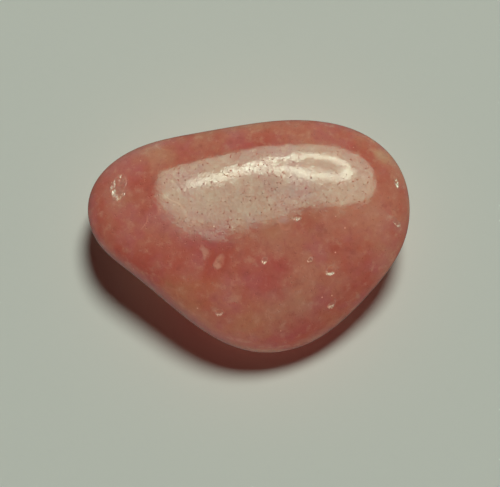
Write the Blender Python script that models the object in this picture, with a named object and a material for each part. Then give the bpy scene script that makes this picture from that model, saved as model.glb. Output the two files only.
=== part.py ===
"""A tumbled and polished pebble of pink rhodochrosite, modelled at its real size.

The pebble is one piece of stone with no crystal faces: a rounded three-cornered outline with a narrow
nose at -X, a blunt end at +X and a soft corner at -Y. It lies on a small flat of its belly, and
its skin carries the few shallow chips and pits that tumbling left.

Distances are in millimetres in the constants and become metres when the mesh is made.
"""
import math

import bmesh
import bpy
import numpy as np
from mathutils import Matrix, Vector
from mathutils.bvhtree import BVHTree

MM = 0.001

# The widest line round the stone, seen from above, from the right-hand end by way of the back.
# The points lie closer together round the nose, where the line bends most.
OUTLINE = (
    (12.9, 0.0), (12.5, 5.3), (8.8, 8.7), (3.9, 9.6),
    (-0.5, 9.2), (-4.6, 8.5), (-8.9, 7.5), (-12.2, 5.4),
    (-13.5, 2.5), (-12.6, -0.5), (-9.9, -2.9), (-6.7, -5.5),
    (-3.4, -7.9), (0.7, -9.3), (5.6, -8.2), (10.0, -4.5),
)
# Heights of that line at every sixth of a turn, from the right by way of the back. It is high
# at the blunt back and comes down to the thin front corner.
RIM_HEIGHT = (5.5, 5.7, 5.4, 4.3, 3.0, 2.4)

# The crown is the half above the widest line, and the belly is the half below it. Each has the
# height and the place of its pole. A fullness of 2 is an ellipse in section, and a larger one is
# squarer. It is given at equal parts of a turn, from the right by way of the back.
CROWN_HEIGHT = 9.0
CROWN_POLE = (-3.4, -1.2)
CROWN_FULLNESS = (2.4, 2.9, 3.0, 2.7, 2.2, 2.0)
BELLY_HEIGHT = 0.0
BELLY_POLE = (0.5, -0.4)
BELLY_FULLNESS = (2.6, 2.3, 2.3, 2.5)

# What the resting flat takes off the lowest point of the belly.
REST_CUT = 0.3

# Squares along each edge of the cube that the pebble is rounded from.
GRID = 22

# Chips and pits, by a point near the skin, the length, width and depth, and the turn of the
# length from +X in degrees.
CHIPS = {
    "nose_dent": ((-10.7, 3.3, 7.9), 2.4, 1.3, 0.16, 88),
    "right_nick": ((12.1, 0.7, 6.8), 1.4, 0.5, 0.12, -36),
    "rim_nick": ((12.2, 4.0, 6.9), 1.0, 0.4, 0.1, -70),
    "crescent_pit": ((6.7, -3.5, 7.4), 0.9, 0.8, 0.2, 60),
    "corner_pit": ((6.9, -6.0, 5.8), 1.1, 0.6, 0.14, 80),
    "front_pit": ((-2.4, -6.9, 7.0), 0.8, 0.7, 0.14, 30),
    "crown_pit": ((4.0, 0.7, 8.5), 0.8, 0.5, 0.1, 20),
    "middle_pit": ((1.3, -2.8, 8.4), 0.6, 0.5, 0.1, 70),
    "small_pit": ((5.0, -2.7, 8.0), 0.5, 0.4, 0.1, 60),
}
CHIP_SEGMENTS = 20
CHIP_RINGS = 32

STONE_COLOUR = (0.45, 0.13, 0.09, 1.0)
STONE_ROUGHNESS = 0.18


def clear_scene():
    for item in list(bpy.data.objects):
        bpy.data.objects.remove(item, do_unlink=True)


def collection(name):
    group = bpy.data.collections.new(name)
    bpy.context.scene.collection.children.link(group)
    return group


def stone_material():
    material = bpy.data.materials.new("rhodochrosite")
    material.use_nodes = True
    shader = material.node_tree.nodes["Principled BSDF"]
    shader.inputs["Base Color"].default_value = STONE_COLOUR
    shader.inputs["Roughness"].default_value = STONE_ROUGHNESS
    shader.inputs["Metallic"].default_value = 0.0
    return material


def around(values, angle):
    """Smooth closed curve through the values, which are spread evenly over one turn of the angle."""
    count = len(values)
    own = np.eye(count)
    blend = (4 * own + np.roll(own, 1, axis=1) + np.roll(own, -1, axis=1)) / 6
    control = np.linalg.solve(blend, np.array(values))
    place = np.mod(angle / (2 * math.pi) * count, count)
    first = np.floor(place).astype(int)
    u = place - first
    total = (1 - u) ** 3 * control[(first - 1) % count]
    total += (3 * u ** 3 - 6 * u ** 2 + 4) * control[first % count]
    total += (-3 * u ** 3 + 3 * u ** 2 + 3 * u + 1) * control[(first + 1) % count]
    total += u ** 3 * control[(first + 2) % count]
    return total / 6


def half_points(direction, height, pole, fullness):
    """Points of the crown or the belly, one for each direction from the middle of the stone."""
    turn = np.arctan2(direction[:, 1], direction[:, 0])
    level = np.clip(np.hypot(direction[:, 0], direction[:, 1]), 0, 1)
    rim_x = around([x for x, y in OUTLINE], turn)
    rim_y = around([y for x, y in OUTLINE], turn)
    bearing = np.arctan2(rim_y, rim_x)
    rim_z = around(RIM_HEIGHT, bearing)
    power = 2 / around(fullness, bearing)
    out = level ** power
    rise = np.abs(direction[:, 2]) ** power
    x = pole[0] * (1 - out ** 2) + out * rim_x
    y = pole[1] * (1 - out ** 2) + out * rim_y
    z = rim_z + (height - rim_z) * rise
    return np.stack([x, y, z], axis=1)


def pebble_points(direction):
    """Points of the whole pebble in millimetres, standing on z = 0 and centred on its box."""
    crown = half_points(direction, CROWN_HEIGHT, CROWN_POLE, CROWN_FULLNESS)
    belly = half_points(direction, BELLY_HEIGHT, BELLY_POLE, BELLY_FULLNESS)
    points = np.where(direction[:, 2:3] >= 0, crown, belly)
    points[:, 2] = np.maximum(points[:, 2] - REST_CUT, 0)
    points[:, :2] -= (points[:, :2].min(axis=0) + points[:, :2].max(axis=0)) / 2
    return points


def cube_grid():
    """A cube of even squares, with sides from -1 to 1."""
    mesh = bmesh.new()
    bmesh.ops.create_cube(mesh, size=2)
    bmesh.ops.subdivide_edges(mesh, edges=mesh.edges[:], cuts=GRID - 1, use_grid_fill=True)
    return mesh


def round_to_pebble(mesh):
    """Moves the cube's vertices out to the pebble's skin."""
    cube = np.array([vertex.co for vertex in mesh.verts])
    spread = np.tan(cube * math.pi / 4)
    direction = spread / np.linalg.norm(spread, axis=1, keepdims=True)
    for vertex, point in zip(mesh.verts, pebble_points(direction)):
        vertex.co = Vector(point) * MM


def flatten_rest(mesh):
    """Joins the squares that lie on z = 0 into one resting face."""
    resting = [face for face in mesh.faces if all(vertex.co.z == 0 for vertex in face.verts)]
    bmesh.ops.dissolve_faces(mesh, faces=resting, use_verts=True)


def chip_cutter(name, place, length, width, depth, turn, skin, group):
    """An ellipsoid over the skin whose tip leaves a shallow oval chip."""
    foot, normal, _, _ = skin.find_nearest(Vector(place) * MM)
    ball = (width ** 2 / 4 + depth ** 2) / (2 * depth)
    mesh = bmesh.new()
    bmesh.ops.create_uvsphere(mesh, u_segments=CHIP_SEGMENTS, v_segments=CHIP_RINGS, radius=ball * MM)
    bmesh.ops.scale(mesh, vec=(length / width, 1, 1), verts=mesh.verts)
    data = bpy.data.meshes.new(name)
    mesh.to_mesh(data)
    mesh.free()
    cutter = bpy.data.objects.new(name, data)
    along = Vector((math.cos(math.radians(turn)), math.sin(math.radians(turn)), 0))
    across = normal.cross(along).normalized()
    frame = Matrix((across.cross(normal), across, normal)).transposed()
    cutter.matrix_world = Matrix.Translation(foot + normal * (ball - depth) * MM) @ frame.to_4x4()
    cutter.hide_render = True
    cutter.display_type = "WIRE"
    group.objects.link(cutter)
    return cutter


def tumbled_stone(group, cutters):
    mesh = cube_grid()
    round_to_pebble(mesh)
    flatten_rest(mesh)
    skin = BVHTree.FromBMesh(mesh)
    data = bpy.data.meshes.new("tumbled_stone")
    mesh.to_mesh(data)
    mesh.free()
    data.materials.append(stone_material())
    data.shade_smooth()
    stone = bpy.data.objects.new("tumbled_stone", data)
    group.objects.link(stone)
    for name, (place, length, width, depth, turn) in CHIPS.items():
        cut = stone.modifiers.new(name, "BOOLEAN")
        cut.operation = "DIFFERENCE"
        cut.solver = "EXACT"
        cut.object = chip_cutter(name, place, length, width, depth, turn, skin, cutters)


def main():
    clear_scene()
    pebble = collection("rhodochrosite_pebble")
    cutters = collection("cutters")
    tumbled_stone(pebble, cutters)


main()
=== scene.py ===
"""The looks of the tumbled rhodochrosite pebble, with its floor, lamp and camera.

Shapes are worked out in millimetres and become metres when a mesh or a light is made.
"""

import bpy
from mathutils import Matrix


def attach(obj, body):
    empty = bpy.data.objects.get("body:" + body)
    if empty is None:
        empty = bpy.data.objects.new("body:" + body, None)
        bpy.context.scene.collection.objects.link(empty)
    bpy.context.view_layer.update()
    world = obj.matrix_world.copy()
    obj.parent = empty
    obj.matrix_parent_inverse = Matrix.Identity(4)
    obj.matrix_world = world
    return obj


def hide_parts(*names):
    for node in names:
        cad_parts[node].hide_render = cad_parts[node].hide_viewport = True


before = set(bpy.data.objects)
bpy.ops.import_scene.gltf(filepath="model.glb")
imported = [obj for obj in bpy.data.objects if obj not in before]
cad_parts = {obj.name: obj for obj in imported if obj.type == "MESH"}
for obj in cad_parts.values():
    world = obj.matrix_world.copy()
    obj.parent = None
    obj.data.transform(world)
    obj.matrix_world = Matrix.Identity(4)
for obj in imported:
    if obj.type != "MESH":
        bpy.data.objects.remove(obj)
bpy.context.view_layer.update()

import math

import bmesh
import bpy
import numpy as np
from mathutils import Matrix, Vector

MM = 0.001

# The widest line round the stone, seen from above, from the right-hand end by way of the back.
OUTLINE = (
    (12.9, 0.0), (12.5, 5.3), (8.8, 8.7), (3.9, 9.6),
    (-0.5, 9.2), (-4.6, 8.5), (-8.9, 7.5), (-12.2, 5.4),
    (-13.5, 2.5), (-12.6, -0.5), (-9.9, -2.9), (-6.7, -5.5),
    (-3.4, -7.9), (0.7, -9.3), (5.6, -8.2), (10.0, -4.5),
)
# Heights of that line at every sixth of a turn, from the right by way of the back.
RIM_HEIGHT = (5.5, 5.7, 5.4, 4.3, 3.0, 2.4)

# The crown is above the widest line and the belly below it, each with the height and the place of
# its pole, and its fullness at equal parts of a turn.
CROWN_HEIGHT = 9.0
CROWN_POLE = (-3.4, -1.2)
CROWN_FULLNESS = (2.4, 2.9, 3.0, 2.7, 2.2, 2.0)
BELLY_HEIGHT = 0.0
BELLY_POLE = (0.5, -0.4)
BELLY_FULLNESS = (2.6, 2.3, 2.3, 2.5)
REST_CUT = 0.3

# Squares along each edge of the cube that the pebble is rounded from, and the cuts that make each
# square near a chip finer, out to a share of the chip's length and a margin.
GRID = 94
CHIP_CUTS = 5
FINE_SHARE = 0.62
FINE_MARGIN = 0.2

# Chips and pits, by a point near the skin, the length, width and depth, and the turn of the
# length from +X in degrees.
CHIPS = (
    ((-10.7, 3.3, 7.9), 2.4, 1.3, 0.16, 88),
    ((12.1, 0.7, 6.8), 1.4, 0.5, 0.12, -36),
    ((12.2, 4.0, 6.9), 1.0, 0.4, 0.10, -70),
    ((6.7, -3.5, 7.4), 0.9, 0.8, 0.20, 60),
    ((6.9, -6.0, 5.8), 1.1, 0.6, 0.14, 80),
    ((-2.4, -6.9, 7.0), 0.8, 0.7, 0.14, 30),
    ((4.0, 0.7, 8.5), 0.8, 0.5, 0.10, 20),
    ((1.3, -2.8, 8.4), 0.6, 0.5, 0.10, 70),
    ((5.0, -2.7, 8.0), 0.5, 0.4, 0.10, 60),
)
# Chips longer than this have a fainter painted glint on their front edge.
GLINT_LENGTH = 1.2

# Larger patches of colour, by their middle on the skin, reach, strength and shade from 0 to 255.
PATCHES = (
    ((-4.9, -5.4, 7.6), 3.0, 0.5, (190, 140, 110)),
    ((-6.8, -4.4, 7.4), 1.0, 0.5, (178, 142, 112)),
    ((3.5, -6.4, 6.7), 3.4, 0.6, (190, 158, 138)),
    ((0.0, -7.7, 6.3), 2.4, 0.5, (194, 156, 128)),
    ((4.6, -7.7, 5.1), 2.0, 0.5, (184, 114, 106)),
    ((6.7, -6.9, 4.9), 1.6, 0.5, (190, 136, 112)),
    ((-6.0, -2.5, 8.3), 2.6, 0.2, (188, 112, 108)),
    ((1.5, -4.2, 8.2), 3.2, 0.4, (190, 118, 118)),
    ((-10.5, 4.5, 7.4), 3.0, 0.4, (190, 120, 122)),
    ((9.0, 2.0, 7.6), 4.4, 0.6, (200, 158, 138)),
    ((-2.3, -2.8, 8.6), 0.6, 0.6, (214, 184, 166)),
    ((-3.5, -2.0, 8.7), 0.5, 0.5, (214, 184, 166)),
    ((3.1, 0.6, 8.5), 0.8, 0.5, (202, 172, 168)),
    ((11.0, 6.4, 6.9), 1.2, 0.6, (200, 164, 138)),
    ((-10.7, 3.3, 7.9), 1.6, 0.4, (188, 148, 142)),
)

# Colours of the stone on a scale from 0 to 255.
SALMON = (183, 113, 101)
PEACH = (192, 143, 126)
ROSE = (184, 118, 126)
TAN = (191, 150, 125)
PALE_MOTTLE = (205, 174, 156)
DARK_MOTTLE = (164, 102, 94)
VEIN = (226, 186, 166)
# Painted shade in the tiny pits.
PAINTED_PIT_SHADE = (100, 66, 56)
CHIP_FLOOR = (236, 208, 190)
# Painted glints: the pale band on the chips' front edges and the small pale sparkles.
PAINTED_GLINT_COLOUR = (255, 230, 212)

# The polish, and how light scatters under it.
POLISH_ROUGHNESS = 0.095
CHIP_ROUGHNESS = 0.2
STONE_IOR = 1.62
SCATTER_LENGTH = 18.0
SCATTER_OF_COLOURS = (1.0, 0.7, 0.6)
SCATTER_FORWARD = 0.8

# Spacing of the tiny pits, the painted sparkles and the crumbs of a chip's floor, and the relief's
# depths.
PIT_SPACING = 0.28
SPARKLE_SPACING = 1.7
CRUMB_SPACING = 0.3
PIT_DEPTH = 0.05
WAVE_DEPTH = 0.02
GRAIN_DEPTH = 0.005
CRUMB_DEPTH = 0.06

# The camera looks down on the stone from a little to the front. The view's width is at the middle of
# the stone, and the framing is how far the picture's middle lies to the right of the stone's
# middle and up the picture from it.
CAMERA_HEIGHT_ANGLE = 80
CAMERA_DISTANCE = 230.0
CAMERA_CLIP = 10.0
VIEW_WIDTH = 41.6
SENSOR_WIDTH = 36.0
STONE_MIDDLE_HEIGHT = 4.0
FRAMING = (0.13, -0.62)

# The lamp behind the stone, by its angle above the floor and to the right of +Y. Its light comes from
# a small source, and the polish mirrors the milky panel round it and the bright folded tube that
# hangs just in front of the panel.
LAMP_HEIGHT_ANGLE = 62
LAMP_BEARING = 16
LAMP_DISTANCE = 3000.0
SOURCE_ANGLES = (17, 14)
SOURCE_RADIANCE = 34.0
# Angles across and up from the lamp's middle, in degrees.
PANEL_OUTLINE = (
    (-19.0, -2.0), (-17.5, -8.0), (-13.0, -12.0), (-6.0, -12.5), (1.0, -15.0), (9.0, -15.0),
    (17.5, -11.5), (23.0, -2.0), (23.0, 9.0), (15.0, 13.5), (5.0, 15.0), (-3.0, 18.5),
    (-9.5, 15.0), (-16.0, 7.5),
)
PANEL_CORNERS = 56
PANEL_RADIANCE = 4.2
TUBE_PATH = (
    (-9.4, 7.2), (-9.2, 3.4), (-7.2, 1.0), (-4.0, -2.4), (2.8, -5.2), (8.0, -4.0),
    (11.3, -1.0), (11.3, 3.0), (7.0, 4.7), (0.4, 4.3), (-3.8, 2.8), (-7.0, 3.6),
)
TUBE_THICKNESS = 2.3
TUBE_GAP = 2.0
TUBE_RADIANCE = 16.0
LIGHT_COLOUR = (1.0, 0.985, 0.86)
PANEL_COLOUR = (0.6, 1.0, 0.74)
TUBE_COLOUR = (0.78, 1.0, 0.76)

# Soft light that stands for what passes through the stone: one from the front and one from below,
# which reach only the stone, and a pool over the shadow, which reaches only the floor.
STONE_GLOW_SPREAD = 150
STONE_GLOW_COLOUR = (1.0, 0.75, 0.7)
FLANK_GLOW_STRENGTH = 1.25
FLANK_GLOW_TURN = (90, 0, -12)
EDGE_GLOW_STRENGTH = 1.1
EDGE_GLOW_TURN = (180, 0, 0)
SHADOW_GLOW_SIZE = (17, 11)
SHADOW_GLOW_PLACE = (1.5, -2.5, 3)
SHADOW_GLOW_RADIANCE = 1.25
SHADOW_GLOW_COLOUR = (1.0, 0.17, 0.13)

# The dim room that the polish mirrors, and the pale floor.
ROOM_COLOUR = (0.93, 1.0, 0.92, 1.0)
ROOM_STRENGTH = 0.1
FLOOR_COLOUR = (0.76, 0.835, 0.815, 1.0)
FLOOR_SIZE = 3000.0


def around(values, angle):
    """Smooth closed curve through the values, which are spread evenly over one turn of the angle."""
    count = len(values)
    own = np.eye(count)
    blend = (4 * own + np.roll(own, 1, axis=1) + np.roll(own, -1, axis=1)) / 6
    control = np.linalg.solve(blend, np.array(values))
    place = np.mod(angle / (2 * math.pi) * count, count)
    first = np.floor(place).astype(int)
    u = place - first
    total = (1 - u) ** 3 * control[(first - 1) % count]
    total += (3 * u ** 3 - 6 * u ** 2 + 4) * control[first % count]
    total += (-3 * u ** 3 + 3 * u ** 2 + 3 * u + 1) * control[(first + 1) % count]
    total += u ** 3 * control[(first + 2) % count]
    return total / 6


def half_points(direction, height, pole, fullness):
    """Points of the crown or the belly, one for each direction from the middle of the stone."""
    turn = np.arctan2(direction[:, 1], direction[:, 0])
    level = np.clip(np.hypot(direction[:, 0], direction[:, 1]), 0, 1)
    rim_x = around([x for x, y in OUTLINE], turn)
    rim_y = around([y for x, y in OUTLINE], turn)
    bearing = np.arctan2(rim_y, rim_x)
    rim_z = around(RIM_HEIGHT, bearing)
    power = 2 / around(fullness, bearing)
    out = level ** power
    rise = np.abs(direction[:, 2]) ** power
    x = pole[0] * (1 - out ** 2) + out * rim_x
    y = pole[1] * (1 - out ** 2) + out * rim_y
    z = rim_z + (height - rim_z) * rise
    return np.stack([x, y, z], axis=1)


def pebble_points(direction):
    """Points of the whole pebble in millimetres, standing on z = 0 and centred on its box."""
    crown = half_points(direction, CROWN_HEIGHT, CROWN_POLE, CROWN_FULLNESS)
    belly = half_points(direction, BELLY_HEIGHT, BELLY_POLE, BELLY_FULLNESS)
    points = np.where(direction[:, 2:3] >= 0, crown, belly)
    points[:, 2] = np.maximum(points[:, 2] - REST_CUT, 0)
    points[:, :2] -= (points[:, :2].min(axis=0) + points[:, :2].max(axis=0)) / 2
    return points


def directions(mesh):
    """Directions from the cube's middle to its vertices, spread evenly over the ball."""
    cube = np.array([vertex.co for vertex in mesh.verts])
    spread = np.tan(cube * math.pi / 4)
    return spread / np.linalg.norm(spread, axis=1, keepdims=True)


def cube_grid():
    """A cube of even squares from -1 to 1, with finer squares where the chips will be."""
    mesh = bmesh.new()
    bmesh.ops.create_cube(mesh, size=2)
    bmesh.ops.subdivide_edges(mesh, edges=mesh.edges[:], cuts=GRID - 1, use_grid_fill=True)
    points = pebble_points(directions(mesh))
    near = np.zeros(len(points), bool)
    for place, length, width, depth, turn in CHIPS:
        reach = length * FINE_SHARE + FINE_MARGIN
        near |= np.linalg.norm(points - np.array(place), axis=1) < reach
    fine = [face for face in mesh.faces if all(near[vertex.index] for vertex in face.verts)]
    edges = list({edge for face in fine for edge in face.edges})
    bmesh.ops.subdivide_edges(mesh, edges=edges, cuts=CHIP_CUTS, use_grid_fill=True)
    return mesh


def chip_frame(points, normals, place, turn):
    """The nearest skin point, its normal, and the directions along and across the chip."""
    nearest = np.argmin(np.linalg.norm(points - np.array(place), axis=1))
    normal = normals[nearest]
    along = np.array((math.cos(math.radians(turn)), math.sin(math.radians(turn)), 0))
    across = np.cross(normal, along)
    across /= np.linalg.norm(across)
    return points[nearest], normal, np.cross(across, normal), across


def cut_chips(points, normals):
    """Presses the chips into the points.

    Returns how far inside a chip each point is, and how much painted glint it has: a pale band
    on the chip's front side, whose wall faces the lamp behind the stone.
    """
    inside = np.zeros(len(points))
    painted_glint = np.zeros(len(points))
    cut = np.zeros_like(points)
    for place, length, width, depth, turn in CHIPS:
        foot, normal, along, across = chip_frame(points, normals, place, turn)
        from_foot = points - foot
        u = from_foot @ along / (length / 2)
        v = from_foot @ across / (width / 2)
        angle = np.arctan2(v, u)
        wobble = 1 + 0.09 * np.sin(3 * angle + turn) + 0.05 * np.sin(7 * angle - turn)
        reach = np.hypot(u, v) * wobble
        reach[np.abs(from_foot @ normal) > length] = 2
        bowl = np.clip(1 - reach ** 2, 0, 1)
        cut -= np.outer(bowl * depth, normal)
        inside = np.maximum(inside, np.clip((1.08 - reach) / 0.16, 0, 1))
        # Painted glint: a pale band on the chip's front side, where its wall faces the lamp behind the
        # stone.
        front = np.clip(0.2 - from_foot[:, 1] / (np.linalg.norm(from_foot, axis=1) + 0.01), 0, 1)
        band = np.clip(1 - np.abs(reach - 0.7) / 0.4, 0, 1)
        painted_glint = np.maximum(painted_glint, band * front * min(1, GLINT_LENGTH / length))
    points += cut
    return inside, painted_glint


def make_stone():
    mesh = cube_grid()
    points = pebble_points(directions(mesh))
    for vertex, point in zip(mesh.verts, points):
        vertex.co = point
    mesh.normal_update()
    normals = np.array([vertex.normal for vertex in mesh.verts])
    inside, painted_glint = cut_chips(points, normals)
    for vertex, point in zip(mesh.verts, points):
        vertex.co = Vector(point) * MM
    bmesh.ops.triangulate(mesh, faces=[face for face in mesh.faces if len(face.verts) > 4])
    data = bpy.data.meshes.new("rhodochrosite_pebble")
    mesh.to_mesh(data)
    mesh.free()
    data.shade_smooth()
    for name, values in (("chip", inside), ("painted_glint", painted_glint)):
        attribute = data.attributes.new(name, "FLOAT", "POINT")
        attribute.data.foreach_set("value", values.astype(np.float32))
    stone = bpy.data.objects.new("rhodochrosite_pebble", data)
    bpy.context.scene.collection.objects.link(stone)
    return stone


class Nodes:
    """Short ways to add and join the nodes of one material."""

    def __init__(self, name):
        self.material = bpy.data.materials.new(name)
        self.material.use_nodes = True
        self.tree = self.material.node_tree
        self.shader = self.tree.nodes["Principled BSDF"]

    def join(self, value, socket):
        if isinstance(value, bpy.types.NodeSocket):
            self.tree.links.new(value, socket)
        else:
            socket.default_value = value

    def place(self):
        """The object's own coordinates, in millimetres."""
        coordinates = self.tree.nodes.new("ShaderNodeTexCoord")
        scale = self.tree.nodes.new("ShaderNodeVectorMath")
        scale.operation = "SCALE"
        self.join(coordinates.outputs["Object"], scale.inputs[0])
        scale.inputs["Scale"].default_value = 1 / MM
        return scale.outputs[0]

    def noise(self, where, size, detail=2.0, roughness=0.5, offset=0.0):
        """Cloudy noise from about 0.25 to 0.75, with clouds of the given size in millimetres."""
        node = self.tree.nodes.new("ShaderNodeTexNoise")
        node.noise_dimensions = "4D"
        self.join(where, node.inputs["Vector"])
        node.inputs["W"].default_value = offset
        node.inputs["Scale"].default_value = 1 / size
        node.inputs["Detail"].default_value = detail
        node.inputs["Roughness"].default_value = roughness
        return node.outputs["Fac"]

    def attribute(self, name):
        node = self.tree.nodes.new("ShaderNodeAttribute")
        node.attribute_name = name
        return node.outputs["Fac"]

    def cells(self, where, size):
        """Distance from the middle of the nearest of many cells, where 1 is the cells' size."""
        node = self.tree.nodes.new("ShaderNodeTexVoronoi")
        self.join(where, node.inputs["Vector"])
        node.inputs["Scale"].default_value = 1 / size
        return node.outputs["Distance"]

    def warp(self, where, strength, size):
        """The place moved about by cloudy noise, by up to half the strength in millimetres."""
        node = self.tree.nodes.new("ShaderNodeTexNoise")
        self.join(where, node.inputs["Vector"])
        node.inputs["Scale"].default_value = 1 / size
        middle = self.tree.nodes.new("ShaderNodeVectorMath")
        middle.operation = "SUBTRACT"
        self.join(node.outputs["Color"], middle.inputs[0])
        middle.inputs[1].default_value = (0.5, 0.5, 0.5)
        move = self.tree.nodes.new("ShaderNodeVectorMath")
        move.operation = "MULTIPLY_ADD"
        self.join(middle.outputs[0], move.inputs[0])
        move.inputs[1].default_value = (strength * 2,) * 3
        self.join(where, move.inputs[2])
        return move.outputs[0]

    def distance(self, where, place):
        node = self.tree.nodes.new("ShaderNodeVectorMath")
        node.operation = "DISTANCE"
        self.join(where, node.inputs[0])
        node.inputs[1].default_value = place
        return node.outputs["Value"]

    def math(self, operation, first, second=0.0):
        node = self.tree.nodes.new("ShaderNodeMath")
        node.operation = operation
        self.join(first, node.inputs[0])
        self.join(second, node.inputs[1])
        return node.outputs[0]

    def ramp(self, value, low, high, start=0.0, end=1.0):
        """Smooth step of a value from low to high."""
        node = self.tree.nodes.new("ShaderNodeMapRange")
        node.interpolation_type = "SMOOTHSTEP"
        self.join(value, node.inputs["Value"])
        self.join(low, node.inputs["From Min"])
        self.join(high, node.inputs["From Max"])
        node.inputs["To Min"].default_value = start
        node.inputs["To Max"].default_value = end
        return node.outputs["Result"]

    def mix(self, factor, first, second):
        """A colour between two colours. The inputs 0, 6 and 7 are the node's factor and colours."""
        node = self.tree.nodes.new("ShaderNodeMix")
        node.data_type = "RGBA"
        factor_in, first_in, second_in = (node.inputs[i] for i in (0, 6, 7))
        self.join(factor, factor_in)
        self.join(first, first_in)
        self.join(second, second_in)
        return node.outputs[2]


def linear(red, green, blue):
    """A colour of the 0 to 255 scale as the shader's linear colour."""
    values = [channel / 255 for channel in (red, green, blue)]
    return tuple(v / 12.92 if v <= 0.04045 else ((v + 0.055) / 1.055) ** 2.4 for v in values) + (1.0,)


def stone_colour(nodes, where):
    """Clouds of salmon, rose and tan, the larger patches, and a few pale veins."""
    clouds = nodes.noise(where, 4.5, 3, 0.6, 1.3)
    rose = nodes.noise(where, 2.6, 3, 0.6, 7.7)
    tan = nodes.noise(where, 3.4, 3, 0.6, 12.5)
    fine = nodes.noise(where, 0.8, 4, 0.65, 4.1)
    colour = nodes.mix(nodes.ramp(clouds, 0.35, 0.65), linear(*SALMON), linear(*PEACH))
    colour = nodes.mix(nodes.ramp(rose, 0.45, 0.64, 0, 0.45), colour, linear(*ROSE))
    colour = nodes.mix(nodes.ramp(tan, 0.5, 0.68, 0, 0.4), colour, linear(*TAN))
    warped = nodes.warp(where, 1.2, 1.6)
    for place, reach, strength, shade in PATCHES:
        near = nodes.ramp(nodes.distance(warped, place), reach, reach * 0.25, 0, strength)
        colour = nodes.mix(near, colour, linear(*shade))
    colour = nodes.mix(nodes.ramp(fine, 0.5, 0.72, 0, 0.45), colour, linear(*PALE_MOTTLE))
    colour = nodes.mix(nodes.ramp(fine, 0.48, 0.3, 0, 0.4), colour, linear(*DARK_MOTTLE))
    ridge = nodes.math("ABSOLUTE", nodes.math("SUBTRACT", nodes.noise(where, 5.5, 2, 0.5, 21.0), 0.5))
    vein = nodes.math("MULTIPLY", nodes.ramp(ridge, 0.012, 0.0), nodes.ramp(clouds, 0.5, 0.62, 0, 0.35))
    return nodes.mix(vein, colour, linear(*VEIN))


def stone_material():
    nodes = Nodes("rhodochrosite")
    where = nodes.place()
    chip = nodes.attribute("chip")
    pit = micro_pits(nodes, where)
    colour = stone_colour(nodes, where)
    # Painted shade: the tiny pits are darkened in the colour.
    colour = nodes.mix(nodes.math("MULTIPLY", pit, 0.35), colour, linear(*PAINTED_PIT_SHADE))
    colour = nodes.mix(nodes.math("MULTIPLY", chip, 0.12), colour, linear(*CHIP_FLOOR))
    # Painted glints: a pale band on the chips' front edges and small pale sparkles, mixed into the base
    # colour.
    crumbs = nodes.ramp(nodes.noise(where, 0.16, 2, 0.7, 31.0), 0.38, 0.56)
    painted_glint = nodes.ramp(nodes.math("MULTIPLY", nodes.attribute("painted_glint"), crumbs), 0.1, 0.6, 0, 0.85)
    # Painted sparkles: small pale dots in the colour, standing in for tiny glints.
    painted_sparkle = nodes.ramp(nodes.cells(where, SPARKLE_SPACING), 0.055, 0.02, 0, 0.6)
    colour = nodes.mix(nodes.math("MAXIMUM", painted_glint, painted_sparkle), colour, linear(*PAINTED_GLINT_COLOUR))
    nodes.join(colour, nodes.shader.inputs["Base Color"])
    roughness = nodes.ramp(chip, 0, 1, POLISH_ROUGHNESS, CHIP_ROUGHNESS)
    nodes.join(roughness, nodes.shader.inputs["Roughness"])
    speckle = nodes.ramp(nodes.noise(where, 0.17, 2, 0.8, 17.0), 0.38, 0.6, 0.26, 0.6)
    matt = nodes.ramp(pit, 0.2, 0.6, 1, 0.1)
    shine = nodes.math("MAXIMUM", nodes.math("MULTIPLY", speckle, matt), chip)
    nodes.join(shine, nodes.shader.inputs["Specular IOR Level"])
    nodes.shader.inputs["IOR"].default_value = STONE_IOR
    nodes.shader.inputs["Subsurface Weight"].default_value = 1.0
    nodes.shader.inputs["Subsurface Radius"].default_value = SCATTER_OF_COLOURS
    nodes.shader.inputs["Subsurface Scale"].default_value = SCATTER_LENGTH * MM
    nodes.shader.inputs["Subsurface Anisotropy"].default_value = SCATTER_FORWARD
    nodes.join(surface_relief(nodes, where, chip, pit), nodes.shader.inputs["Normal"])
    return nodes.material


def micro_pits(nodes, where):
    """The tiny pits that the polish left, which the colour darkens as painted shade, from 0 outside
    them to 1 in their middle.
    """
    distance = nodes.cells(where, PIT_SPACING)
    reach = nodes.ramp(nodes.noise(where, 0.2, 3, 0.7, 2.2), 0.36, 0.66, 0.08, 0.32)
    return nodes.ramp(distance, reach, 0.0)


def surface_relief(nodes, where, chip, pit):
    """Pits, the slight waves and grain of the polish, and the broken floors of the chips."""
    waves = nodes.noise(where, 1.6, 2, 0.5, 9.0)
    grain = nodes.noise(where, 0.25, 2, 0.6, 5.0)
    broken = nodes.math("MULTIPLY", nodes.cells(where, CRUMB_SPACING), chip)
    height = nodes.math("MULTIPLY", pit, -PIT_DEPTH)
    height = nodes.math("ADD", height, nodes.math("MULTIPLY", waves, WAVE_DEPTH))
    height = nodes.math("ADD", height, nodes.math("MULTIPLY", grain, GRAIN_DEPTH))
    height = nodes.math("ADD", height, nodes.math("MULTIPLY", broken, CRUMB_DEPTH))
    bump = nodes.tree.nodes.new("ShaderNodeBump")
    bump.inputs["Strength"].default_value = 1.0
    bump.inputs["Distance"].default_value = MM
    nodes.join(height, bump.inputs["Height"])
    return bump.outputs["Normal"]


def make_floor():
    bpy.ops.mesh.primitive_plane_add(size=FLOOR_SIZE * MM)
    floor = bpy.context.object
    floor.name = "floor"
    nodes = Nodes("pale_floor")
    nodes.shader.inputs["Base Color"].default_value = FLOOR_COLOUR
    nodes.shader.inputs["Roughness"].default_value = 0.9
    nodes.shader.inputs["Specular IOR Level"].default_value = 0.2
    floor.data.materials.append(nodes.material)
    floor.visible_glossy = False
    return floor


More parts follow.
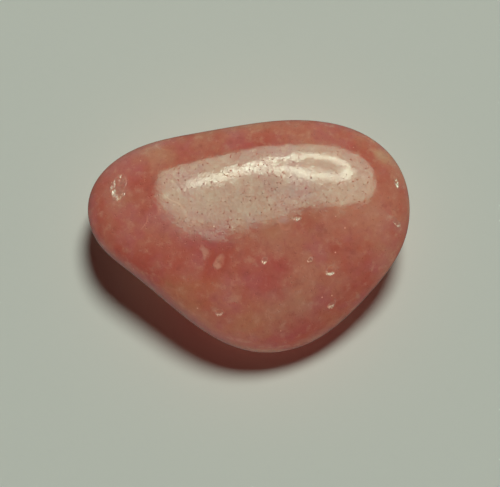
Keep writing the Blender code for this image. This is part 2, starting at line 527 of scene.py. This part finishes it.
def lamp_frame():
    """The direction from the stone to the lamp, and the lamp's own right and up."""
    height = math.radians(LAMP_HEIGHT_ANGLE)
    bearing = math.radians(LAMP_BEARING)
    toward = Vector((
        math.sin(bearing) * math.cos(height), math.cos(bearing) * math.cos(height), math.sin(height)))
    right = toward.cross(Vector((0, 0, 1))).normalized()
    return toward, right, right.cross(toward).normalized()


def lamp_point(across, up, nearer=0.0):
    """A point of the lamp's plane in metres, at angles from its middle seen from the stone."""
    toward, right, lift = lamp_frame()
    away = toward + right * math.tan(math.radians(across)) + lift * math.tan(math.radians(up))
    return away * (LAMP_DISTANCE - nearer) * MM


def set_radiance(data, radiance):
    """Gives an oval area light the power at which every point of it has the radiance."""
    data.energy = radiance * math.pi * math.pi / 4 * data.size * data.size_y


def make_source():
    """The small source that lights the stone and the floor, and isn't mirrored."""
    toward, right, lift = lamp_frame()
    data = bpy.data.lights.new("lamp_source", "AREA")
    data.shape = "ELLIPSE"
    data.size = 2 * LAMP_DISTANCE * MM * math.tan(math.radians(SOURCE_ANGLES[0] / 2))
    data.size_y = 2 * LAMP_DISTANCE * MM * math.tan(math.radians(SOURCE_ANGLES[1] / 2))
    data.color = LIGHT_COLOUR
    set_radiance(data, SOURCE_RADIANCE)
    light = bpy.data.objects.new("lamp_source", data)
    turn = Matrix((-right, lift, toward)).transposed()
    light.matrix_world = Matrix.Translation(lamp_point(0, 0)) @ turn.to_4x4()
    light.visible_glossy = False
    bpy.context.scene.collection.objects.link(light)


def light_only(light, receiver):
    """Keeps a light to one object, and out of what the polish mirrors."""
    group = bpy.data.collections.new(light.name + "_receiver")
    group.objects.link(receiver)
    light.light_linking.receiver_collection = group
    light.visible_glossy = False
    bpy.context.scene.collection.objects.link(light)


def make_light_through_stone(stone, floor):
    """The reddish light that passes through the stone to its flanks, its edge and its shadow."""
    glows = (
        ("flank_glow", FLANK_GLOW_STRENGTH, FLANK_GLOW_TURN),
        ("edge_glow", EDGE_GLOW_STRENGTH, EDGE_GLOW_TURN),
    )
    for name, strength, turn in glows:
        glow = bpy.data.lights.new(name, "SUN")
        glow.angle = math.radians(STONE_GLOW_SPREAD)
        glow.energy = strength
        glow.color = STONE_GLOW_COLOUR
        glow.use_shadow = False
        light = bpy.data.objects.new(name, glow)
        light.rotation_euler = [math.radians(angle) for angle in turn]
        light_only(light, stone)
    pool = bpy.data.lights.new("shadow_glow", "AREA")
    pool.shape = "ELLIPSE"
    pool.size, pool.size_y = (length * MM for length in SHADOW_GLOW_SIZE)
    set_radiance(pool, SHADOW_GLOW_RADIANCE)
    pool.color = SHADOW_GLOW_COLOUR
    pool.use_shadow = False
    light = bpy.data.objects.new("shadow_glow", pool)
    light.location = Vector(SHADOW_GLOW_PLACE) * MM
    light_only(light, floor)


def glowing_sheet(name, points, faces, colour, radiance):
    """A flat shape that is only there for the polish to mirror."""
    data = bpy.data.meshes.new(name)
    data.from_pydata(points, [], faces)
    sheet = bpy.data.objects.new(name, data)
    nodes = Nodes(name)
    nodes.shader.inputs["Base Color"].default_value = (0, 0, 0, 1)
    nodes.shader.inputs["Emission Color"].default_value = (*colour, 1)
    nodes.shader.inputs["Emission Strength"].default_value = radiance
    nodes.material.cycles.emission_sampling = "NONE"
    data.materials.append(nodes.material)
    sheet.visible_diffuse = False
    sheet.visible_shadow = False
    bpy.context.scene.collection.objects.link(sheet)


def make_panel():
    angle = np.linspace(0, 2 * math.pi, PANEL_CORNERS, endpoint=False)
    across = around([x for x, y in PANEL_OUTLINE], angle)
    up = around([y for x, y in PANEL_OUTLINE], angle)
    points = [lamp_point(*corner) for corner in zip(across, up)]
    glowing_sheet("lamp_panel", points, [list(range(PANEL_CORNERS))], PANEL_COLOUR, PANEL_RADIANCE)


def make_tube():
    path = [Vector(point) for point in TUBE_PATH]
    points = []
    for step, point in enumerate(path):
        before = path[max(step - 1, 0)]
        after = path[min(step + 1, len(path) - 1)]
        along = (after - before).normalized()
        side = Vector((-along.y, along.x)) * TUBE_THICKNESS / 2
        points.append(lamp_point(*(point + side), nearer=TUBE_GAP))
        points.append(lamp_point(*(point - side), nearer=TUBE_GAP))
    faces = [(2 * i, 2 * i + 1, 2 * i + 3, 2 * i + 2) for i in range(len(path) - 1)]
    glowing_sheet("lamp_tube", points, faces, TUBE_COLOUR, TUBE_RADIANCE)


def make_room():
    """The dim room that the polish mirrors, which lights nothing."""
    world = bpy.context.scene.world or bpy.data.worlds.new("room")
    bpy.context.scene.world = world
    world.use_nodes = True
    world.cycles_visibility.diffuse = False
    background = world.node_tree.nodes["Background"]
    background.inputs["Color"].default_value = ROOM_COLOUR
    background.inputs["Strength"].default_value = ROOM_STRENGTH
    bpy.context.scene.view_settings.view_transform = "Standard"


def make_camera():
    angle = math.radians(CAMERA_HEIGHT_ANGLE)
    back = Vector((0, -math.cos(angle), math.sin(angle)))
    up = Vector((0, math.sin(angle), math.cos(angle)))
    aim = Vector((FRAMING[0], 0, STONE_MIDDLE_HEIGHT)) + up * FRAMING[1]
    data = bpy.data.cameras.new("camera")
    data.sensor_width = SENSOR_WIDTH
    data.lens = SENSOR_WIDTH * CAMERA_DISTANCE / VIEW_WIDTH
    data.clip_start = CAMERA_CLIP * MM
    camera = bpy.data.objects.new("camera", data)
    camera.location = (aim + back * CAMERA_DISTANCE) * MM
    camera.rotation_mode = "QUATERNION"
    camera.rotation_quaternion = (-back).to_track_quat("-Z", "Y")
    bpy.context.scene.collection.objects.link(camera)
    bpy.context.scene.camera = camera


def main():
    make_camera()
    stone = make_stone()
    stone.data.materials.append(stone_material())
    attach(stone, "root")
    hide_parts("tumbled_stone")
    make_light_through_stone(stone, make_floor())
    make_source()
    make_panel()
    make_tube()
    make_room()


main()
